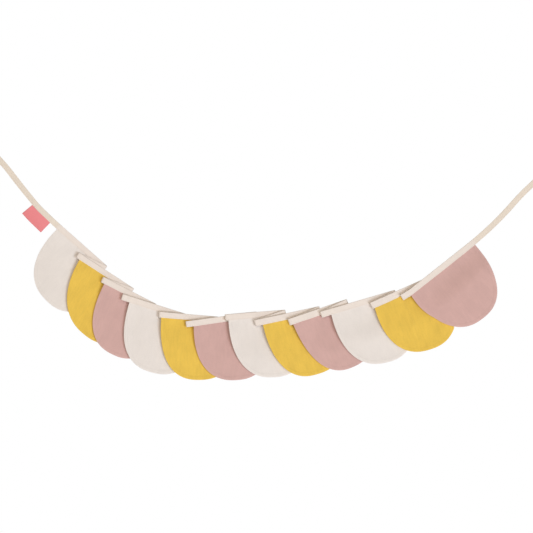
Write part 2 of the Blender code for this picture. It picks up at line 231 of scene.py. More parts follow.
# The unevenness of cotton: the size of its spots across and down, its detail and its seed.
SLUB_WIDTH, SLUB_LENGTH = 1.3, 26  # pitches
COTTON_NOISES = {
    "fine": (2.2 * MM, 3.0 * MM, 3.0, 9),
    "broad": (24 * MM, 34 * MM, 2.0, 14),
    "crumple": (12 * MM, 18 * MM, 2.0, 21),
    "streak": (4.2 * MM, 21 * MM, 2.0, 33),
}

# How light cotton is, what its unevenness takes off, and what each part then adds.
SHADE, SHADE_OFF = 0.985, 0.142
# Painted shade between the threads: the weave's crests are lighter and the gaps between them
# darker.
WEAVE_PAINTED_SHADE = 0.06
SHADES = {"slub_down": 0.05, "slub_across": 0.04, "fine": 0.05, "broad": 0.12, "streak": 0.08}
RIM_SHADE, RIM_FROM, RIM_TO = 0.05, 0.3 * MM, 2.6 * MM
LINE_SHADE, LINE_BEFORE, LINE_PAST = 0.04, 0.8 * MM, 0.9 * MM  # where the turnings end

# Relief of cotton, in millimetres.
WEAVE_RELIEF = 0.10
SLUB_RELIEFS = {"slub_down": 0.09, "slub_across": 0.07}
CRUMPLE_RELIEF = 0.42

# Camera, light and floor.
VIEW_CENTRE = (0.4977, 0.01, -0.2111)
VIEW_WIDTH = 0.9594
VIEW_DISTANCE = 7.0
SENSOR = 36.0
WHITE = (1.0, 1.0, 1.0, 1.0)
SKY = (0.275, 0.248, 0.205)
KEY_COLOUR = (0.94, 1.015, 1.12)
FILL_COLOUR = (1.0, 0.935, 0.83)
LIGHTS = (
    ("key_softbox", (4.5, -6.0, -2.3), 2.9, 222.0, KEY_COLOUR),
    ("front_softbox", (0.3, -3.2, 0.1), 2.6, 43.5, FILL_COLOUR),
    ("back_softbox", (0.5, 3.0, 0.6), 2.4, 55.0, KEY_COLOUR),
)
FLOOR_DROP = 1.6
FLOOR_RADIUS = 1.6
FLOOR_PAINT = (0.86, 0.86, 0.86, 1.0)
FLOOR_FADE = (0.45 * FLOOR_RADIUS, 0.98 * FLOOR_RADIUS)
FLOOR_GLOW = 0.25  # the share of white light in its middle


def unit(vector):
    return vector / np.linalg.norm(vector)


def heading(slope):
    """The direction in the XZ plane of a tape that runs down to the right by slope degrees."""
    return np.array((math.cos(math.radians(slope)), -math.sin(math.radians(slope))))


def below(along):
    """The direction square to a rightward tape, towards its lower edge."""
    return np.array((along[1], -along[0]))


def smooth(share):
    share = min(max(share, 0.0), 1.0)
    return share * share * (3 - 2 * share)


def rounded(distance, radius, least=0.0):
    """The share of its full thickness that a round edge has, a distance in from it."""
    short = max(0.0, 1 - distance / radius)
    return math.sqrt(max(least, 1 - short**2))


def waves(at, rows):
    """A slow unevenness: each row is a wave's height, its length and its shift."""
    return sum(height * math.sin(at / length + shift) for height, length, shift in rows)


def flag_rows():
    """The rows of the table in metres, each as a dictionary."""
    rows = []
    for row in FLAG_ROWS:
        flag = dict(zip(ROW_NAMES, row, strict=True))
        for column in ROW_NAMES:
            if column not in ("cloth", "slope") and flag[column] is not None:
                flag[column] *= MM
        flag["start"] = np.array((flag["across"], -flag["down"]))
        rows.append(flag)
    return rows


class Leg:
    """A flat stretch of the strip, as it lies in the XZ plane. Slopes make it a curve."""

    def __init__(self, start, origin, along, down, slopes=None):
        self.start = start
        self.origin = origin
        self.along = along
        self.down = down
        self.slopes = slopes

    def point(self, s, b):
        if self.slopes is None:
            return self.origin + (s - self.start) * self.along + b * self.down
        distances, angles = zip(*self.slopes, strict=True)
        count = max(1, round(abs(s - self.start) / CURVE_STEP))
        middles = (s - self.start) * (np.arange(count) + 0.5) / count
        turned = np.radians(np.interp(middles, distances, angles))
        steps = np.stack((np.cos(turned), -np.sin(turned)), axis=1)
        at = self.origin + steps.sum(axis=0) * (s - self.start) / count
        return at + b * below(heading(np.interp(s - self.start, distances, angles)))


class Crease:
    """A fold towards the viewer that starts at s on the top edge and turns leg to along."""

    def __init__(self, leg, s, along):
        line = unit(leg.along + along)
        line = line if line @ leg.down > 0 else -line
        self.leg = leg
        self.s = s
        self.tilt = (line @ leg.along) / (line @ leg.down)
        self.stretch = math.hypot(1, self.tilt)
        self.across = unit(leg.along - self.tilt * leg.down)
        self.end = s + math.pi * FOLD_RADIUS * self.stretch

    def past(self, s, b):
        """How far a point of the strip lies past the line where the fold starts."""
        return (s - self.s - self.tilt * b) / self.stretch

    def mirrored(self, vector):
        return vector - 2 * (vector @ self.across) * self.across

    def next_leg(self, slopes=None):
        origin = self.leg.point(self.end, 0) - math.pi * FOLD_RADIUS * self.across
        along, down = self.mirrored(self.leg.along), self.mirrored(self.leg.down)
        return Leg(self.end, origin, along, down, slopes)


def return_crease(leg, s, target):
    """The right fold of a flag, aimed so that the return's top edge leads to target."""
    aim = unit(target - leg.point(s, 0))
    for _ in range(AIM_ROUNDS):
        crease = Crease(leg, s, aim)
        back = crease.next_leg()
        aim = unit(target - back.origin)
    return crease


def folded_strip(flags):
    """The legs and creases in order. Each flag gets its leg and the ends of its cloth."""
    first = flags[0]
    along = heading(first["slope"])
    legs = [Leg(0.0, first["start"], along, below(along), LEFT_SLOPES)]
    creases = []
    begin = 0.0
    for flag, following in zip(flags, flags[1:] + [None], strict=True):
        flag["leg"] = len(creases)
        flag["from"] = begin + flag["bare"]
        flag["to"] = flag["from"] + flag["span"]
        if following is None:
            break
        # A visible end is one fold radius past the line where the fold starts.
        flat = flag["reach"] - FOLD_RADIUS * (1 if flag is first else 2)
        flag["crease"] = return_crease(legs[-1], begin + flat, following["start"])
        back = flag["crease"].next_leg()
        length = np.linalg.norm(following["start"] - back.origin) - FOLD_RADIUS
        slopes = RIGHT_SLOPES if following is flags[-1] else None
        turn = Crease(back, back.start + length, heading(following["slope"]))
        creases += [flag["crease"], turn]
        legs += [back, turn.next_leg(slopes)]
        begin = turn.end
    return legs, creases


def swag_height(x):
    side = SWAG_LEFT if x < SWAG_LOW[0] else SWAG_RIGHT
    share = abs(x - SWAG_LOW[0]) / side["span"]
    return SWAG_LOW[1] + side["rise"] * share ** side["power"]


class Bunting:
    """Where each point of the strip hangs."""

    def __init__(self):
        self.flags = flag_rows()
        self.legs, self.creases = folded_strip(self.flags)
        self.left = self.flags[0]["start"][0]
        self.right = self.flags[-1]["start"][0]
        self.lean = len(self.creases) * LAYER / (self.right - self.left)
        self.zero = np.zeros(3)
        self.zero = np.array(self.place(-LEFT_TIE, TIE_WIDTH / 2, 0.0))

    def sheet_back(self, x):
        """How far back the first layer would lie at x. All layers are parallel to it."""
        past_right = x - self.right - LEVEL_PAST
        if x < self.left:
            x = self.left - EASE * math.tanh((self.left - x) / EASE)
        elif past_right > 0:
            x = self.right + LEVEL_PAST + EASE * math.tanh(past_right / EASE)
        share = (x - self.left) / (self.right - self.left)
        swell = SWELL * math.sin(math.pi * min(max(share, 0.0), 1.0))
        return self.lean * (x - self.left) + swell

    def back(self, x, z, layers):
        """How far back a point lies that has that depth of layers behind it."""
        share = smooth((swag_height(x) - z - CLOSE_FROM) / (CLOSE_TO - CLOSE_FROM))
        closeness = 1 - (1 - CLOSE) * share
        ripple = RIPPLE * share * math.sin(2 * math.pi * x / RIPPLE_LENGTH)
        return closeness * (self.sheet_back(x) - layers) + ripple

    def place(self, s, b, front, flag=None):
        """Where a point of the strip hangs, front metres before the middle of the cloth.

        A flag's cloth follows its own fold alone, however far the tape's folds would reach down.
        """
        home = 0 if flag is None else flag["leg"]
        own = self.creases if flag is None else self.creases[home : home + 1]
        passed = [i for i, crease in enumerate(own, 1) if crease.past(s, b) >= 0]
        folds = home + max(passed, default=0)
        # Each fold turns the strip over, so its face is towards the viewer on every second leg.
        facing = front if folds % 2 == 0 else -front
        layers = folds * LAYER
        at = self.legs[folds].point(s, b)
        crease = self.creases[folds - 1] if folds > home else None
        if crease is not None and crease.past(s, b) < math.pi * FOLD_RADIUS:
            turned = crease.past(s, b) / FOLD_RADIUS
            radius = FOLD_RADIUS + facing
            at = crease.leg.point(s, b) - crease.past(s, b) * crease.across
            at = at + radius * math.sin(turned) * crease.across
            layers += FOLD_RADIUS * (1 - math.cos(turned)) - LAYER
            facing = -facing * math.cos(turned)
        y = self.back(at[0], at[1], layers) - facing
        return np.array((at[0], y, at[1])) - self.zero


# Meshes


def add_vectors(mesh, name, values):
    layer = mesh.attributes.new(name, "FLOAT_VECTOR", "POINT")
    layer.data.foreach_set("vector", np.asarray(values, np.float32).ravel())


def add_piece(name, points, faces, cloth, material):
    """A smooth closed mesh.

    cloth holds each point's flat place, along and down, and a third number: how far it lies
    from a flag's edge, or what share it has of a tie. It is 0 on the thread and the label.
    """
    mesh = bpy.data.meshes.new(name)
    mesh.from_pydata([tuple(point) for point in points], [], faces)
    add_vectors(mesh, "cloth", cloth)
    shell = bmesh.new()
    shell.from_mesh(mesh)
    bmesh.ops.recalc_face_normals(shell, faces=shell.faces)
    shell.to_mesh(mesh)
    shell.free()
    mesh.shade_smooth()
    mesh.materials.append(material)
    piece = bpy.data.objects.new(name, mesh)
    bpy.context.scene.collection.objects.link(piece)
    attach(piece, "root")
    return piece


# The flags


def hung_place(flag, a, b):
    """Where a place on the flag hangs, from the same place on it as it was cut."""
    share = np.maximum(0.0, b - flag["width"]) / flag["drop"]
    side = 2 * a / flag["span"] - 1
    return np.stack((a + flag["sway"] * share, b + flag["dip"] * side * share), axis=-1)


def cut_place(flag, a, b):
    """The opposite of hung_place()."""
    hung = np.stack((a, b), axis=-1)
    guess = hung
    for _ in range(AIM_ROUNDS):
        guess = guess + hung - hung_place(flag, guess[..., 0], guess[..., 1])
    return guess


def flag_edge(flag):
    """The outline of the flag as it was cut, without its top, and the inward directions."""
    turns = np.linspace(0, math.pi, OUTLINE_STEPS + 1)
    across = np.sign(np.cos(turns)) * np.abs(np.cos(turns)) ** (2 / ROUNDNESS)
    depth = np.abs(np.sin(turns)) ** (2 / ROUNDNESS)
    rounding = (flag["span"] / 2 * (1 - across), flag["width"] + flag["drop"] * depth)
    curve = np.stack(rounding, axis=1)
    side = np.arange(FLAG_TOP, flag["width"] - GRID / 2, GRID)
    left = np.stack((np.zeros(len(side)), side), axis=1)
    right = np.stack((np.full(len(side), flag["span"]), side[::-1]), axis=1)
    edge = np.concatenate((left, curve, right))
    # Even steps along it, so that the rings inside it are even too.
    lengths = np.concatenate(((0.0,), np.cumsum(np.linalg.norm(np.diff(edge, axis=0), axis=1))))
    even = np.linspace(0, lengths[-1], OUTLINE_STEPS + 1)
    edge = np.stack([np.interp(even, lengths, edge[:, k]) for k in (0, 1)], axis=1)
    along = np.gradient(edge, axis=0)
    along /= np.linalg.norm(along, axis=1)[:, None]
    inward = np.stack((along[:, 1], -along[:, 0]), axis=1)
    inward[0], inward[-1] = (1.0, 0.0), (-1.0, 0.0)
    return edge, inward


def fold_lines(flag):
    """Lines of points on the flag as it was cut that its fold runs along."""
    crease = flag.get("crease")
    if crease is None:
        return []
    downs = np.arange(FLAG_TOP - GRID, flag["width"] + flag["drop"] + 3 * GRID, GRID)
    places = np.linspace(crease.s, crease.end, FOLD_LINES)
    return [cut_place(flag, s - flag["from"] + crease.tilt * downs, downs) for s in places]


def flat_flag(flag):
    """The flag as it was cut: its points (a, b), its triangles and its outline."""
    edge, inward = flag_edge(flag)
    rings = [edge + ring * inward for ring in RIM_RINGS + SEAM_RINGS]
    top = np.arange(GRID, flag["span"] - GRID / 2, GRID)
    top = np.stack((top, np.full(len(top), FLAG_TOP)), axis=1)
    folds = fold_lines(flag)
    flat = np.concatenate(rings + [top, inner_grid(flag, rings[-1])] + folds)
    first_top = len(edge) * len(rings)
    tops = list(range(first_top, first_top + len(top)))
    loop = list(range(len(edge))) + tops[::-1] + [0]
    edges = list(zip(loop[:-1], loop[1:], strict=True))
    start = len(flat) - sum(len(line) for line in folds)
    for line in folds:
        edges += [(k, k + 1) for k in range(start, start + len(line) - 1)]
        start += len(line)
    verts, _, faces, *_ = delaunay_2d_cdt([Vector(p) for p in flat], edges, [], INSIDE, SAME_PLACE)
    used = sorted({k for face in faces for k in face})
    place = {old: new for new, old in enumerate(used)}
    flat = np.array([verts[k][:] for k in used])
    return flat, [[place[k] for k in face] for face in faces], edge


def inner_grid(flag, inner):
    """Points in rows inside the innermost ring, closer together just under the tape."""
    rows = []
    b = FLAG_TOP + GRID
    while b < flag["width"] + flag["drop"]:
        step = FINE_GRID if b < flag["width"] + FINE_DEPTH else GRID
        shift = step / 2 if len(rows) % 2 else 0.0
        a = np.arange(GRID + shift, flag["span"] - GRID, step)
        rows.append(np.stack((a, np.full(len(a), b)), axis=1))
        b += step
    grid = np.concatenate(rows)
    left = inner[: len(inner) // 2]
    right = inner[len(inner) // 2 :]
    keep = grid[:, 1] < np.interp(grid[:, 0], inner[:, 0], inner[:, 1]) - GRID / 2
    keep &= grid[:, 0] > np.interp(grid[:, 1], left[:, 1], left[:, 0]) + GRID / 2
    keep &= grid[:, 0] < np.interp(grid[:, 1], right[::-1, 1], right[::-1, 0]) - GRID / 2
    crease = flag.get("crease")
    if crease is not None:
        hung = hung_place(flag, grid[:, 0], grid[:, 1])
        past = crease.past(hung[:, 0] + flag["from"], hung[:, 1])
        keep &= (past < -GRID / 2) | (past > math.pi * FOLD_RADIUS + GRID / 2)
    return grid[keep]


def thickness(edge_distance, along):
    """The cloth's thickness by the distance from its edge, with the seam's turnings inside."""
    wander = waves(along, TURNING_WAVES)
    inside = smooth((edge_distance - TURNING - wander) / TURNING_SOFT + 0.5)
    full = CLOTH_EDGE + (CLOTH_INNER - CLOTH_EDGE) * inside
    return rounded(edge_distance, RIM, RIM_LEAST) * full


def puckers(flag, number, a, b):
    """Small pulls in the cloth under the row of stitches."""
    depth = b - flag["width"]
    if depth < -SEAM_UP:
        return 0.0
    fade = math.exp(-max(depth, 0.0) / PUCKER_FADE) * smooth((depth + SEAM_UP) / SEAM_UP)
    sides = smooth(a / PUCKER_SIDES) * smooth((flag["span"] - a) / PUCKER_SIDES)
    turn = a / MM + PUCKER_SHIFT * number
    wave = math.sin(turn / PUCKER_LENGTH + PUCKER_WANDER * math.sin(turn / WANDER_LENGTH))
    wave += SECOND_SHARE * math.sin(turn / SECOND_LENGTH + number)
    return PUCKER * fade * sides * wave


def hang(flag, number, a, b):
    """Long soft folds of the cloth's own, growing towards its lower end."""
    across = math.sin(a / HANG_ACROSS + HANG_ACROSS_SHIFT * number)
    down = math.sin(b / HANG_DOWN + HANG_DOWN_SHIFT * number)
    return HANG * smooth(b / flag["drop"]) * (across + HANG_DOWN_SHARE * down)


def lift(flag, a, depth, distance):
    """How far the left edge stands off the flag behind, less and less away from it."""
    share = math.exp(-((distance / LIFT_REACH) ** 2)) * smooth(depth / LIFT_FROM)
    return flag["lift"] * share * (1 - smooth(LIFT_STEEP * a / flag["span"] - LIFT_SHIFT))


def imprint(flag, behind, at):
    """How far the fold of the flag behind stands out through a flag."""
    if behind is None or not flag["imprint"]:
        return 0.0
    crease = behind["crease"]
    from_fold = at - crease.leg.point(crease.s, 0)
    reach = from_fold @ crease.across - IMPRINT_PAST
    down = from_fold @ crease.leg.down
    ridge = math.exp(-((reach / IMPRINT_WIDTH) ** 2))
    step = IMPRINT_STEP * (1 - smooth(reach / IMPRINT_SLOPE + 0.5))
    fade = smooth(down / IMPRINT_BEGIN) * (1 - smooth((down - IMPRINT_LENGTH) / IMPRINT_END))
    return flag["imprint"] * fade * (ridge + step)


def flag_relief(bunting, number, cut, hung, distance):
    """How far the middle of the cloth stands out, at its place as cut and as hung."""
    flag = bunting.flags[number - 1]
    behind = bunting.flags[number - 2] if number > 1 else None
    a, b = cut
    relief = puckers(flag, number, a, b) + hang(flag, number, a, b)
    relief += lift(flag, a, b - flag["width"], distance)
    if flag.get("crease") is None or flag["crease"].past(*hung) < 0:
        relief += imprint(flag, behind, bunting.legs[flag["leg"]].point(*hung))
    return relief * smooth((b - flag["width"] + SEAM_UP) / SEAM_UP)


def sheet_faces(faces, count):
    """The faces of a sheet's two sides and its rim. The second side's points come count later."""
    rims = {}
    for face in faces:
        for a, b in zip(face, face[1:] + face[:1], strict=True):
            key = (min(a, b), max(a, b))
            rims[key] = None if key in rims else (a, b)
    sides = faces + [[k + count for k in face[::-1]] for face in faces]
    return sides + [[b, a, a + count, b + count] for a, b in filter(None, rims.values())]


def make_flag(number, bunting, materials):
    flag = bunting.flags[number - 1]
    flat, faces, edge = flat_flag(flag)
    fine = np.concatenate([edge[:-1] + share * np.diff(edge, axis=0) for share in QUARTERS])
    points = []
    cloth = []
    for side in (1, -1):
        for a, b in flat:
            distance = np.hypot(fine[:, 0] - a, fine[:, 1] - b).min()
            hung_a, hung_b = hung_place(flag, a, b)
            s = hung_a + flag["from"]
            middle = flag_relief(bunting, number, (a, b), (s, hung_b), distance)
            front = middle + side * thickness(distance, a + b) / 2
            points.append(bunting.place(s, hung_b, front, flag))
            cloth.append((a + flag["from"], b, distance))
    name = f"flag_{number:02d}"
    shell = sheet_faces(faces, len(flat))
    piece = add_piece(f"cloth_{name}", points, shell, cloth, materials[flag["cloth"]])
    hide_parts(name)
    return piece


# The tape


def tape_width(bunting, s):
    """The tape's width, which changes between the flags."""
    places, widths = [LABEL_TO], [TIE_WIDTH]
    for flag in bunting.flags:
        places += [flag["from"], flag["to"]]
        widths += [flag["width"], flag["width"]]
    places.append(bunting.flags[-1]["to"] + TIE_BEGINS)
    widths.append(TIE_WIDTH)
    return np.interp(s, places, widths) + waves(s, WIDTH_WAVES)


def tape_gap(bunting, s):
    """The space between the tape's walls, wider where a flag or the label is inside."""
    gap = SHUT_GAP
    for flag in bunting.flags:
        inside = min(s - flag["from"], flag["to"] - s) / OPENING + 1
        gap = max(gap, SHUT_GAP + (CLOTH_GAP - SHUT_GAP) * smooth(inside))
    inside = min(s - LABEL_FROM, LABEL_TO - s) / OPENING + 1
    return max(gap, SHUT_GAP + (2 * RIBBON + RIBBON_GAP + RIBBON_ROOM) * smooth(inside))


def tie_share(bunting, s):
    """1 on the ties and 0 between the first flag's left end and the last flag's right end."""
    first, last = bunting.flags[0]["from"], bunting.flags[-1]["to"]
    return 1 - smooth(min(s - first, last - s) / OPENING + 1)


def tape_half(width, b, gap, s):
    """Half the outer thickness of the tape, b down from its top fold."""
    full = gap / 2 + WALL + PUFF * (PUFF_EVEN + PUFF_UNEVEN * math.sin(s / PUFF_LENGTH))
    pinch = PINCH * math.exp(-(((width - b - SEAM_UP) / PINCH_REACH) ** 2))
    top = max(0.0, 1 - b / TOP_ROUND)
    return (full - pinch) * (1 - top**TOP_POWER) ** (1 / TOP_POWER)


def closed_section(outer, inner):
    """A section's outline, from the outer and inner outline of its front half.

    Both halves end at the fold, and the back half mirrors the front one.
    """
    outer = outer + [(b, -half) for b, half in outer[-2::-1]]
    inner = inner + [(b, -half) for b, half in inner[-2::-1]]
    return outer + inner[::-1]


def tape_section(width, gap, s):
    """The section of the folded tape, as (b, front) from its front lower edge."""
    low = EDGE_LEVELS[-1]
    high = TOP_LEVELS[0]
    middles = [width - low - share * (width - low - high) for share in MIDDLE_SHARES]
    levels = [width - level for level in EDGE_LEVELS] + middles + list(TOP_LEVELS)
    outer = []
    inner = []
    for b in levels:
        half = tape_half(width, b, gap, s)
        wall = min(WALL, half)
        middle = half - wall / 2
        thick = wall * max(EDGE_LEAST, rounded(width - b, EDGE_ROUND))
        outer.append((b, middle + thick / 2))
        inner.append((max(b, WALL), max(middle - thick / 2, INNER_LEAST)))
    outer[-1] = (0.0, 0.0)
    inner[-1] = (WALL, 0.0)
    return closed_section(outer, inner)


def tape_stations(bunting):
    """(place on the top edge, tilt) of each section of the tape."""
    end = bunting.creases[-1].end + RIGHT_TIE_END
    marks, tilts = [-LEFT_TIE], [0.0]
    for flag in bunting.flags:
        marks += [flag["from"] - OPENING, flag["from"]]
        tilts += [0.0, 0.0]
    for crease in bunting.creases:
        steps = round((crease.end - crease.s) / FOLD_STEP) + 1
        marks += list(np.linspace(crease.s, crease.end, steps))
        tilts += [crease.tilt] * steps
    marks += [bunting.flags[-1]["to"] + OPENING, end]
    tilts += [0.0, 0.0]
    order = np.argsort(marks, kind="stable")
    marks, tilts = np.array(marks)[order], np.array(tilts)[order]
    stations = [marks[0]]
    for a, b in zip(marks[:-1], marks[1:], strict=True):
        if b - a > SAME_PLACE:
            stations += list(np.linspace(a, b, max(1, math.ceil((b - a) / STEP)) + 1)[1:])
    return [(s, np.interp(s, marks, tilts)) for s in stations]


def folded_ribbon(name, rings, cloths, material):
    """A closed mesh through rings of points, each round one section of a folded cloth."""
    size = len(rings[0])
    half = size // 2
    faces = []
    for i in range(len(rings) - 1):
        for k in range(size):
            a, b = i * size + k, i * size + (k + 1) % size
            faces.append((a, b, b + size, a + size))
    for base in (0, (len(rings) - 1) * size):
        for k in range(half - 1):
            faces.append((base + k, base + k + 1, base + size - 2 - k, base + size - 1 - k))
    points = [point for ring in rings for point in ring]
    cloth = [row for ring in cloths for row in ring]
    return add_piece(name, points, faces, cloth, material)


def make_tape(bunting, material):
    rings = []
    cloths = []
    for s, tilt in tape_stations(bunting):
        width, gap = tape_width(bunting, s), tape_gap(bunting, s)
        section = tape_section(width, gap, s)
        bare = tie_share(bunting, s)
        rings.append([bunting.place(s + tilt * b, b, front) for b, front in section])
        cloths.append([(s + tilt * b, math.copysign(b, front), bare) for b, front in section])
    piece = folded_ribbon("cloth_tape", rings, cloths, material)
    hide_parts("binding_tape")
    length = bunting.creases[-1].end + RIGHT_TIE_END + LEFT_TIE
    return piece, length


def make_stitches(bunting, length, material):
    """The row of stitches on each face of the tape, as one mesh."""
    points = []
    faces = []
    cloth = []
    pitch = STITCH + STITCH_GAP
    for number in range(int((length - pitch) / pitch)):
        s = -LEFT_TIE + (number + 1) * pitch
        width, gap = tape_width(bunting, s), tape_gap(bunting, s)
        seam = width - SEAM_UP + STITCH_WANDER * math.sin(number * STITCH_TURN)
        half = tape_half(width, seam, gap, s)
        for side in (1, -1):
            faces += stitch_faces(len(points))
            for along, size, out in STITCH_RINGS:
                for k in range(STITCH_SIDES):
                    turn = 2 * math.pi * k / STITCH_SIDES
                    down = seam + THREAD * size * math.cos(turn)
                    front = half + THREAD * (out + size * math.sin(turn))
                    points.append(bunting.place(s + along * STITCH, down, side * front))
                    cloth.append((s + along * STITCH, THREAD * turn, 0.0))
    piece = add_piece("thread_tape", points, faces, cloth, material)
    return piece


def stitch_faces(start):
    faces = []
    for i in range(len(STITCH_RINGS) - 1):
        for k in range(STITCH_SIDES):
            a = start + i * STITCH_SIDES + k
            b = start + i * STITCH_SIDES + (k + 1) % STITCH_SIDES
            faces.append((a, b, b + STITCH_SIDES, a + STITCH_SIDES))
    last = start + (len(STITCH_RINGS) - 1) * STITCH_SIDES
    for base in (start, last):
        faces.append([base + k for k in range(STITCH_SIDES)])
    return faces


# The label


def label_section():
    """The section of the folded ribbon, as (b, front) from its front upper edge."""
    top = TIE_WIDTH - LABEL_TUCK
    bottom = TIE_WIDTH + LABEL_DROP
    levels = list(np.arange(top, bottom - LABEL_EVEN_END, LABEL_STEP))
    levels += [bottom - up * MM for up in LABEL_LEVELS]
    outer = []
    inner = []
    for b in levels:
        gap = RIBBON_GAP * smooth((b - TIE_WIDTH) / RIBBON_PARTS)
        half = (gap / 2 + RIBBON) * rounded(bottom - b, RIBBON_ROUND)
        outer.append((b, half))
        inner.append((min(b, bottom - RIBBON), max(half - RIBBON, RIBBON_LEAST)))
    outer[-1] = (bottom, 0.0)
    inner[-1] = (bottom - RIBBON, 0.0)
    return closed_section(outer, inner)


def make_label(bunting, material):
    section = label_section()
    rings = []
    cloths = []
    for s in np.arange(LABEL_FROM, LABEL_TO + LABEL_STEP / 2, LABEL_STEP):
        across = (s - LABEL_FROM) / (LABEL_TO - LABEL_FROM)
        ring = []
        cloth = []
        for b, front in section:
            down = smooth((b - TIE_WIDTH) / LABEL_DROP)
            curl = CURL * down * math.cos(2 * math.pi * across)
            ring.append(bunting.place(s, b, front + curl))
            cloth.append((s - LABEL_FROM, math.copysign(b - TIE_WIDTH, front), 0.0))
        rings.append(ring)
        cloths.append(cloth)
    piece = folded_ribbon("cloth_label", rings, cloths, material)
    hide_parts("label")
    return piece


# Materials


def material_tree(name):
    material = bpy.data.materials.new(name)
    material.use_nodes = True
    return material, material.node_tree, material.node_tree.nodes["Principled BSDF"]


def feed(tree, socket, value):
    if isinstance(value, bpy.types.NodeSocket):
        tree.links.new(value, socket)
    else:
        socket.default_value = value


def maths(tree, operation, *values):
    node = tree.nodes.new("ShaderNodeMath")
    node.operation = operation
    for socket, value in zip(node.inputs, values, strict=False):
        feed(tree, socket, value)
    return node.outputs[0]


def summed(tree, value, *parts):
    """The value and so much of each part, a part being an output and its amount."""
    for part, amount in parts:
        value = maths(tree, "ADD", value, maths(tree, "MULTIPLY", part, amount))
    return value


def ramp(tree, value, low, high, to_low=0.0, to_high=1.0):
    node = tree.nodes.new("ShaderNodeMapRange")
    node.interpolation_type = "SMOOTHSTEP"
    for socket, given in zip(node.inputs[:5], (value, low, high, to_low, to_high), strict=True):
        feed(tree, socket, given)
    return node.outputs["Result"]


def cloth_place(tree, turn=0.0):
    """The flat coordinates of the cloth, turned by turn degrees, and its third number."""
    node = tree.nodes.new("ShaderNodeAttribute")
    node.attribute_name = "cloth"
    turned = tree.nodes.new("ShaderNodeVectorRotate")
    turned.rotation_type = "Z_AXIS"
    turned.inputs["Angle"].default_value = math.radians(turn)
    tree.links.new(node.outputs["Vector"], turned.inputs["Vector"])
    parts = tree.nodes.new("ShaderNodeSeparateXYZ")
    tree.links.new(turned.outputs["Vector"], parts.inputs[0])
    return parts.outputs["X"], parts.outputs["Y"], parts.outputs["Z"]


def noise(tree, x, y, size_x, size_y, detail, seed):
    """Soft noise in the cloth's flat coordinates, with spots of that size."""
    joined = tree.nodes.new("ShaderNodeCombineXYZ")
    feed(tree, joined.inputs[0], maths(tree, "DIVIDE", x, size_x))
    feed(tree, joined.inputs[1], maths(tree, "DIVIDE", y, size_y))
    joined.inputs[2].default_value = seed
    node = tree.nodes.new("ShaderNodeTexNoise")
    node.inputs["Scale"].default_value = 1.0
    node.inputs["Detail"].default_value = detail
    tree.links.new(joined.outputs[0], node.inputs["Vector"])
    return node.outputs["Fac"]


def blend(tree, share, first, second):
    """The first colour, going over into the second with the share."""
    node = tree.nodes.new("ShaderNodeMix")
    node.data_type = "RGBA"
    tree.links.new(share, node.inputs["Factor"])
    for socket in node.inputs:
        if socket.type == "RGBA":
            socket.default_value = (*(first if socket.name == "A" else second), 1.0)
    return next(socket for socket in node.outputs if socket.type == "RGBA")


def tint(tree, shader, colour, shade):
    """Give the shader that colour, made lighter or darker by the shade."""
    grade = tree.nodes.new("ShaderNodeVectorMath")
    grade.operation = "SCALE"
    feed(tree, grade.inputs[0], colour)
    feed(tree, grade.inputs["Scale"], shade)
    feed(tree, shader.inputs["Base Color"], grade.outputs[0])


def relieve(tree, shader, height):
    """Give the shader a relief, from a height in metres."""
    bump = tree.nodes.new("ShaderNodeBump")
    bump.inputs["Distance"].default_value = 1.0
    feed(tree, bump.inputs["Height"], height)
    feed(tree, shader.inputs["Normal"], bump.outputs["Normal"])


def plain_weave(tree, x, y, pitch):
    """The height, 0 to 1, of a plain weave of that pitch: each thread goes over and under."""
    across = maths(tree, "SINE", maths(tree, "MULTIPLY", x, math.pi / pitch))
    down = maths(tree, "SINE", maths(tree, "MULTIPLY", y, math.pi / pitch))
    warp, weft = maths(tree, "ABSOLUTE", across), maths(tree, "ABSOLUTE", down)
    over = maths(tree, "GREATER_THAN", maths(tree, "MULTIPLY", across, down), 0.0)
    crest = maths(tree, "MULTIPLY", warp, maths(tree, "MULTIPLY_ADD", weft, 0.5, 0.5))
    other = maths(tree, "MULTIPLY", weft, maths(tree, "MULTIPLY_ADD", warp, 0.5, 0.5))
    picked = maths(tree, "MULTIPLY", crest, over)
    rest = maths(tree, "MULTIPLY", other, maths(tree, "SUBTRACT", 1.0, over))
    return maths(tree, "ADD", picked, rest)


def cotton_noises(tree, x, y, pitch, seed):
    """The unevenness of cotton by its name, from slubs in its threads to soft crumples."""
    width, length = SLUB_WIDTH * pitch, SLUB_LENGTH * pitch
    rows = {
        "slub_down": (width, length, 2.0, 0),
        "slub_across": (length, width, 2.0, 5),
        **COTTON_NOISES,
    }
    return {
        name: noise(tree, x, y, size_x, size_y, detail, seed + shift)
        for name, (size_x, size_y, detail, shift) in rows.items()
    }


def seam_shade(tree, shade, edge):
    """The shade with a lighter turned edge, and a faint line where the turnings end."""
    rim = ramp(tree, edge, RIM_FROM, RIM_TO, RIM_SHADE, 0.0)
    inside = ramp(tree, edge, TURNING - LINE_BEFORE, TURNING, 0.0, 1.0)
    outside = ramp(tree, edge, TURNING, TURNING + LINE_PAST, 1.0, 0.0)
    line = maths(tree, "MULTIPLY", inside, outside)
    return summed(tree, maths(tree, "ADD", shade, rim), (line, -LINE_SHADE))


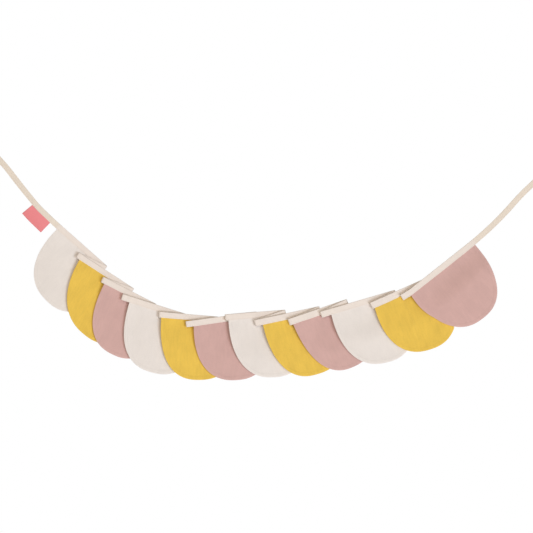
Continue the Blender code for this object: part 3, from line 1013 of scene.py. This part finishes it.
def cotton(name, base, pitch, turn=0.0, bare=None, uneven=1.0, relief=1.0, seed=0.0):
    """Woven cotton: threads of uneven thickness, painted shade in the gaps between them, a soft
    mottle and a lighter turned edge.

    With a bare colour it is the tape's, which goes from base to that with the third number.
    """
    material, tree, shader = material_tree(name)
    x, y, third = cloth_place(tree, turn)
    weave = plain_weave(tree, x, y, pitch)
    noises = cotton_noises(tree, x, y, pitch, seed)

    # The weave paints shade: the gaps between threads darker, their crests lighter.
    shade = summed(tree, SHADE - SHADE_OFF * uneven, (weave, WEAVE_PAINTED_SHADE * relief))
    for kind, amount in SHADES.items():
        shade = summed(tree, shade, (noises[kind], amount * uneven))
    if bare is None:
        tint(tree, shader, base, seam_shade(tree, shade, third))
    else:
        tint(tree, shader, blend(tree, third, base, bare), shade)

    height = maths(tree, "MULTIPLY", weave, WEAVE_RELIEF * MM * relief)
    for kind, amount in SLUB_RELIEFS.items():
        height = summed(tree, height, (noises[kind], amount * relief * MM))
    relieve(tree, shader, summed(tree, height, (noises["crumple"], CRUMPLE_RELIEF * MM)))
    feed(tree, shader.inputs["Roughness"], summed(tree, 0.80, (noises["slub_down"], 0.16)))
    shader.inputs["Specular IOR Level"].default_value = 0.25
    shader.inputs["Sheen Weight"].default_value = 0.25
    shader.inputs["Sheen Roughness"].default_value = 0.55
    return material


def ribbon_material(name, base):
    """Fine bare ribbon with a woven edge along each side."""
    material, tree, shader = material_tree(name)
    x, y, _ = cloth_place(tree)
    rib = maths(tree, "SINE", maths(tree, "MULTIPLY", y, 2 * math.pi / RIB))
    thread = noise(tree, x, y, 5 * MM, 0.3 * MM, detail=2.0, seed=3.0)
    fine = noise(tree, x, y, 0.5 * MM, 0.5 * MM, detail=2.0, seed=8.0)
    middle = (LABEL_TO - LABEL_FROM) / 2
    from_middle = maths(tree, "ABSOLUTE", maths(tree, "SUBTRACT", x, middle))
    selvage = ramp(tree, from_middle, middle - SELVAGE_IN, middle - SELVAGE_OUT)

    tint(tree, shader, base, summed(tree, 0.90, (thread, 0.14), (fine, 0.06), (selvage, -0.05)))
    height = maths(tree, "MULTIPLY", rib, 0.02 * MM)
    relieve(tree, shader, summed(tree, height, (selvage, 0.06 * MM), (fine, 0.05 * MM)))
    feed(tree, shader.inputs["Roughness"], summed(tree, 0.45, (thread, 0.2)))
    shader.inputs["Sheen Weight"].default_value = 0.2
    return material


def thread_material(name, base):
    """Twisted sewing thread, with painted shade in the grooves between its plies."""
    material, tree, shader = material_tree(name)
    x, y, _ = cloth_place(tree)
    along, around = maths(tree, "DIVIDE", x, 0.45 * MM), maths(tree, "DIVIDE", y, 0.6 * MM)
    twist = maths(tree, "ADD", along, around)
    strand = maths(tree, "SINE", maths(tree, "MULTIPLY", twist, 2 * math.pi))
    # Painted shade: lighter on the crest of each ply, darker in the grooves between them.
    tint(tree, shader, base, summed(tree, 0.93, (strand, 0.05)))
    relieve(tree, shader, maths(tree, "MULTIPLY", strand, 0.04 * MM))
    shader.inputs["Roughness"].default_value = 0.6
    return material


# Stage


def mix_shaders(tree, share, first, second, output):
    """Send the first shader to the output, going over into the second with the share."""
    mix = tree.nodes.new("ShaderNodeMixShader")
    for socket, source in zip(mix.inputs, (share, first, second), strict=True):
        tree.links.new(source, socket)
    tree.links.new(mix.outputs[0], tree.nodes[output].inputs["Surface"])


def make_stage():
    """A plain pale floor well below, which fades into the white surroundings."""
    bpy.ops.mesh.primitive_circle_add(vertices=96, radius=FLOOR_RADIUS, fill_type="NGON")
    floor = bpy.context.object
    floor.name = "floor"
    floor.location = (VIEW_CENTRE[0], 0.0, -FLOOR_DROP)
    material, tree, shader = material_tree("floor_paint")
    shader.inputs["Base Color"].default_value = FLOOR_PAINT
    shader.inputs["Roughness"].default_value = 0.9
    place = tree.nodes.new("ShaderNodeTexCoord")
    length = tree.nodes.new("ShaderNodeVectorMath")
    length.operation = "LENGTH"
    tree.links.new(place.outputs["Object"], length.inputs[0])
    glow = tree.nodes.new("ShaderNodeEmission")
    glow.inputs["Color"].default_value = WHITE
    share = ramp(tree, length.outputs["Value"], *FLOOR_FADE, FLOOR_GLOW, 1.0)
    mix_shaders(tree, share, shader.outputs[0], glow.outputs[0], "Material Output")
    floor.data.materials.append(material)


def make_camera():
    camera = bpy.data.objects.new("camera", bpy.data.cameras.new("camera"))
    bpy.context.scene.collection.objects.link(camera)
    camera.data.sensor_width = SENSOR
    camera.data.lens = SENSOR * VIEW_DISTANCE / VIEW_WIDTH
    x, y, z = VIEW_CENTRE
    camera.location = (x, y - VIEW_DISTANCE, z)
    camera.rotation_euler = (math.pi / 2, 0.0, 0.0)
    bpy.context.scene.camera = camera


def area_light(name, place, size, power, colour):
    """A square light that points at the middle of the view."""
    light = bpy.data.objects.new(name, bpy.data.lights.new(name, "AREA"))
    bpy.context.scene.collection.objects.link(light)
    light.data.shape = "SQUARE"
    light.data.size = size
    light.data.energy = power
    light.data.color = colour
    light.visible_camera = False
    light.location = place
    aim = Vector(VIEW_CENTRE) - Vector(place)
    light.rotation_euler = aim.to_track_quat("-Z", "Y").to_euler()


def make_world():
    """White surroundings that light the cloth with less, and warmer, light than they show."""
    world = bpy.data.worlds.new("surroundings")
    world.use_nodes = True
    tree = world.node_tree
    light = tree.nodes["Background"]
    light.inputs["Color"].default_value = (*SKY, 1.0)
    shown = tree.nodes.new("ShaderNodeBackground")
    shown.inputs["Color"].default_value = WHITE
    seen = tree.nodes.new("ShaderNodeLightPath").outputs["Is Camera Ray"]
    mix_shaders(tree, seen, light.outputs[0], shown.outputs[0], "World Output")
    bpy.context.scene.world = world


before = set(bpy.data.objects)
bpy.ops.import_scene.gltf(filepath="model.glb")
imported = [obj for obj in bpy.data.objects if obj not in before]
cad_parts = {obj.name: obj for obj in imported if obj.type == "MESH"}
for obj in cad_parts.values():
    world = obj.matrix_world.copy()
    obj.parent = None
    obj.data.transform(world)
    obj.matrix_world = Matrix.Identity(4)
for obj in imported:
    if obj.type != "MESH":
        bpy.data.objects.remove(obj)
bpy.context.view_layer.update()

bpy.context.scene.view_settings.view_transform = "Standard"
make_camera()
make_world()
make_stage()
for light in LIGHTS:
    area_light(*light)

materials = {
    cloth: cotton(f"{cloth}_cotton", COLOURS[cloth], FLAG_PITCH, **looks)
    for cloth, looks in FLAG_COTTONS.items()
}
tape_cotton = cotton(
    "tape_cotton", COLOURS["tape"], TAPE_PITCH, bare=COLOURS["tie"], **TAPE_COTTON
)
thread = thread_material("thread", COLOURS["tape"])
ribbon = ribbon_material("label_ribbon", COLOURS["label"])

bunting = Bunting()
tape, tape_length = make_tape(bunting, tape_cotton)
stitches = make_stitches(bunting, tape_length, thread)
make_label(bunting, ribbon)
for number in range(1, len(FLAG_ROWS) + 1):
    make_flag(number, bunting, materials)
